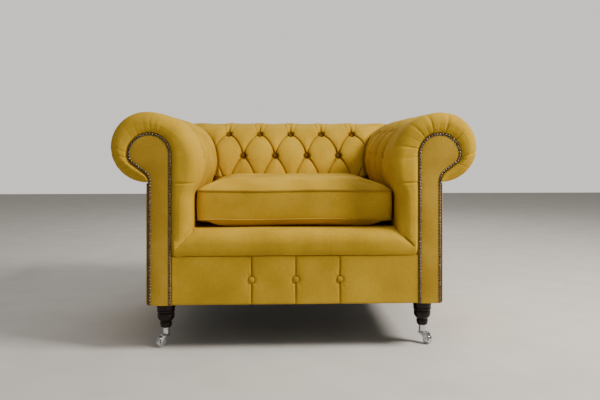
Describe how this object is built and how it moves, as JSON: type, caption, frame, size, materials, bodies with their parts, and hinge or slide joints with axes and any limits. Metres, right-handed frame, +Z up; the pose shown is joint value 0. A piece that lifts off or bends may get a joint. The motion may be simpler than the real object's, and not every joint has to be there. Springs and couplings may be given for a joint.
{
  "type": "upholstered armchair",
  "caption": "Low roll-arm upholstered club armchair with deep-buttoned arms and back, nail-trimmed facings, a loose seat cushion, and turned front legs on castors.",
  "frame": {"origin": "on the floor, at the centre of the chair's width and depth", "axes": "-Y is the way the chair faces, +X is to the right seen from the front, +Z is up"},
  "size_m": [1.12, 0.953, 0.723],
  "materials": {
    "upholstery_fabric": "soft velvet weave, mustard",
    "facing_fabric": "soft velvet weave, mustard",
    "button_fabric": "covered button",
    "cushion_fabric": "soft velvet weave, mustard",
    "piping_fabric": "self-covered cord",
    "cushion_foam": "foam",
    "deck_fabric": "lining",
    "frame_wood": "planed hardwood",
    "leg_wood": "dark polished",
    "webbing": "woven strip",
    "lining_cloth": "woven lining",
    "nail_metal": "antiqued",
    "castor_metal": "polished",
    "spring_steel": "drawn wire",
    "bolt_steel": "zinc plated",
    "zip_metal": "satin",
    "zip_cloth": "woven tape"
  },
  "bodies": {
    "chair": {"arm_padding_left": "upholstery_fabric", "arm_padding_right": "upholstery_fabric", "back_padding": "upholstery_fabric", "front_border": "upholstery_fabric", "front_panel": "upholstery_fabric", "outside_arm_left": "upholstery_fabric", "outside_arm_right": "upholstery_fabric", "outside_back": "upholstery_fabric", "arm_facing_left": "facing_fabric", "arm_facing_right": "facing_fabric", "arm_buttons_left": "button_fabric", "arm_buttons_right": "button_fabric", "back_buttons": "button_fabric", "front_buttons": "button_fabric", "seat_deck": "deck_fabric", "front_rail": "frame_wood", "rear_rail": "frame_wood", "seat_rear_rail": "frame_wood", "side_rail_left": "frame_wood", "side_rail_right": "frame_wood", "arm_post_left": "frame_wood", "arm_post_right": "frame_wood", "front_leg_block_left": "frame_wood", "front_leg_block_right": "frame_wood", "rear_leg_block_left": "frame_wood", "rear_leg_block_right": "frame_wood", "back_post_left": "frame_wood", "back_post_right": "frame_wood", "arm_top_rail_left": "frame_wood", "arm_top_rail_right": "frame_wood", "arm_stay_rail_left": "frame_wood", "arm_stay_rail_right": "frame_wood", "back_top_rail": "frame_wood", "back_stay_rail": "frame_wood", "front_leg_left": "leg_wood", "front_leg_right": "leg_wood", "rear_leg_left": "leg_wood", "rear_leg_right": "leg_wood", "back_webbing": "webbing", "dust_cover": "lining_cloth", "arm_nails_left": "nail_metal", "arm_nails_right": "nail_metal", "castor_cup_left": "castor_metal", "castor_cup_right": "castor_metal", "seat_springs": "spring_steel", "spring_pads": "spring_steel", "leg_bolts": "bolt_steel"},
    "seat_cushion": {"cushion_core": "cushion_foam", "cushion_top": "cushion_fabric", "cushion_bottom": "cushion_fabric", "cushion_boxing": "cushion_fabric", "cushion_piping": "piping_fabric", "cushion_zip": "zip_cloth"},
    "zip_slider": {"zip_slider": "zip_metal"},
    "castor_swivel_left": {"castor_fork_left": "castor_metal", "castor_axle_left": "castor_metal"},
    "castor_wheel_left": {"castor_wheel_left": "castor_metal"},
    "castor_swivel_right": {"castor_fork_right": "castor_metal", "castor_axle_right": "castor_metal"},
    "castor_wheel_right": {"castor_wheel_right": "castor_metal"}
  },
  "joints": [
    {"name": "cushion_slide", "type": "slide", "parent": "chair", "child": "seat_cushion", "axis": [0, -1, 0], "range_m": [0, 0.62]},
    {"name": "zip_slide", "type": "slide", "parent": "seat_cushion", "child": "zip_slider", "axis": [-1, 0, 0], "range_m": [0, 0.456]},
    {"name": "castor_swivel_left", "type": "hinge", "parent": "chair", "child": "castor_swivel_left", "pos_m": [-0.401, -0.397, 0.035], "axis": [0, 0, 1], "continuous": true},
    {"name": "castor_roll_left", "type": "hinge", "parent": "castor_swivel_left", "child": "castor_wheel_left", "pos_m": [-0.41386, -0.41232, 0.015], "axis": [-0.766, 0.6428, 0], "continuous": true},
    {"name": "castor_swivel_right", "type": "hinge", "parent": "chair", "child": "castor_swivel_right", "pos_m": [0.401, -0.397, 0.035], "axis": [0, 0, 1], "continuous": true},
    {"name": "castor_roll_right", "type": "hinge", "parent": "castor_swivel_right", "child": "castor_wheel_right", "pos_m": [0.41386, -0.41232, 0.015], "axis": [0.766, 0.6428, 0], "continuous": true}
  ]
}
